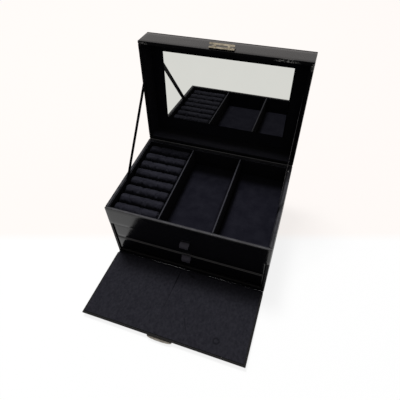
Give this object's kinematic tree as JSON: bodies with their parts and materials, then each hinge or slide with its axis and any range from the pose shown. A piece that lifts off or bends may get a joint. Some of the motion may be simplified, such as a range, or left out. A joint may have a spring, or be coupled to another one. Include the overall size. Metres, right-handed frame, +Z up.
{
  "type": "jewelry box",
  "caption": "Glossy black jewellery box in tiers: mirrored lift-up lid, tray with padded ring rolls and open compartments, drawers with ribbon pulls, and a fold-down front flap with a clasp.",
  "frame": {"origin": "centre of the base's underside, at mount underside", "axes": "+Z up; the drawers and the flap open towards -Y; X runs across the front, with the ring rolls on the -X side"},
  "size_m": [0.25, 0.3359, 0.2933],
  "materials": {
    "patent_leatherette": "black patent leatherette wrapping with a fine grain and a high gloss",
    "velvet": "blue-black short-pile velvet lining",
    "ribbon": "black woven ribbon with a soft sheen",
    "greyboard": "dark pressed board, matt",
    "champagne_brass": "pale champagne plated brass, satin",
    "mirror_glass": "silvered glass with a narrow bevelled edge"
  },
  "bodies": {
    "base": {"back_wall": "patent_leatherette", "carcass_floor": "greyboard", "cover_board": "patent_leatherette", "divider_left": "velvet", "divider_right": "velvet", "drawer_shelf": "patent_leatherette", "flap_hinge_skin": "patent_leatherette", "floor_pad_middle": "velvet", "floor_pad_right": "velvet", "front_rail": "patent_leatherette", "lid_hinge_skin": "patent_leatherette", "ribbon_stay_left": "ribbon", "ribbon_stay_right": "ribbon", "ring_bed": "velvet", "ring_roll_1": "velvet", "ring_roll_2": "velvet", "ring_roll_3": "velvet", "ring_roll_4": "velvet", "ring_roll_5": "velvet", "ring_roll_6": "velvet", "ring_roll_7": "velvet", "ring_roll_8": "velvet", "side_wall_left": "patent_leatherette", "side_wall_right": "patent_leatherette", "tray_floor": "greyboard", "tray_lining_back": "velvet", "tray_lining_front": "velvet", "tray_lining_left": "velvet", "tray_lining_right": "velvet"},
    "lid": {"lid_back_wall": "patent_leatherette", "lid_board": "patent_leatherette", "lid_front_wall": "patent_leatherette", "lid_lining_back": "velvet", "lid_lining_board": "velvet", "lid_lining_front": "velvet", "lid_lining_left": "velvet", "lid_lining_right": "velvet", "lid_side_wall_left": "patent_leatherette", "lid_side_wall_right": "patent_leatherette", "mirror": "mirror_glass", "clasp_leaf": "champagne_brass", "clasp_pin": "champagne_brass"},
    "hasp": {"clasp_hasp": "champagne_brass"},
    "flap": {"flap_board": "patent_leatherette", "flap_lining": "velvet", "clasp_case": "champagne_brass", "clasp_catch": "champagne_brass"},
    "button": {"clasp_button": "champagne_brass"},
    "upper_drawer": {"upper_drawer_box": "velvet", "upper_drawer_front": "patent_leatherette", "upper_drawer_pad": "velvet", "upper_drawer_pull": "ribbon"},
    "lower_drawer": {"lower_drawer_box": "velvet", "lower_drawer_front": "patent_leatherette", "lower_drawer_pad": "velvet", "lower_drawer_pull": "ribbon"}
  },
  "joints": [
    {"name": "lid_hinge", "type": "hinge", "parent": "base", "child": "lid", "pos_m": [0, 0.0836, 0.116], "axis": [-1, 0, 0], "range_deg": [-94, 0], "deforming": ["lid_hinge_skin", "ribbon_stay_left", "ribbon_stay_right"]},
    {"name": "flap_hinge", "type": "hinge", "parent": "base", "child": "flap", "pos_m": [0, -0.0869, 0.0004], "axis": [1, 0, 0], "range_deg": [-86.82, 0], "deforming": ["flap_hinge_skin"]},
    {"name": "upper_drawer_slide", "type": "slide", "parent": "base", "child": "upper_drawer", "axis": [0, -1, 0], "range_m": [0, 0.11]},
    {"name": "lower_drawer_slide", "type": "slide", "parent": "base", "child": "lower_drawer", "axis": [0, -1, 0], "range_m": [0, 0.085]},
    {"name": "hasp_hinge", "type": "hinge", "parent": "lid", "child": "hasp", "pos_m": [0, 0.10011, 0.28767], "axis": [-1, 0, 0], "range_deg": [-100, 45]},
    {"name": "button_push", "type": "slide", "parent": "flap", "child": "button", "axis": [0, 0.0555, 0.9985], "range_m": [0, 0.001], "stiffness_N_per_m": 400}
  ]
}
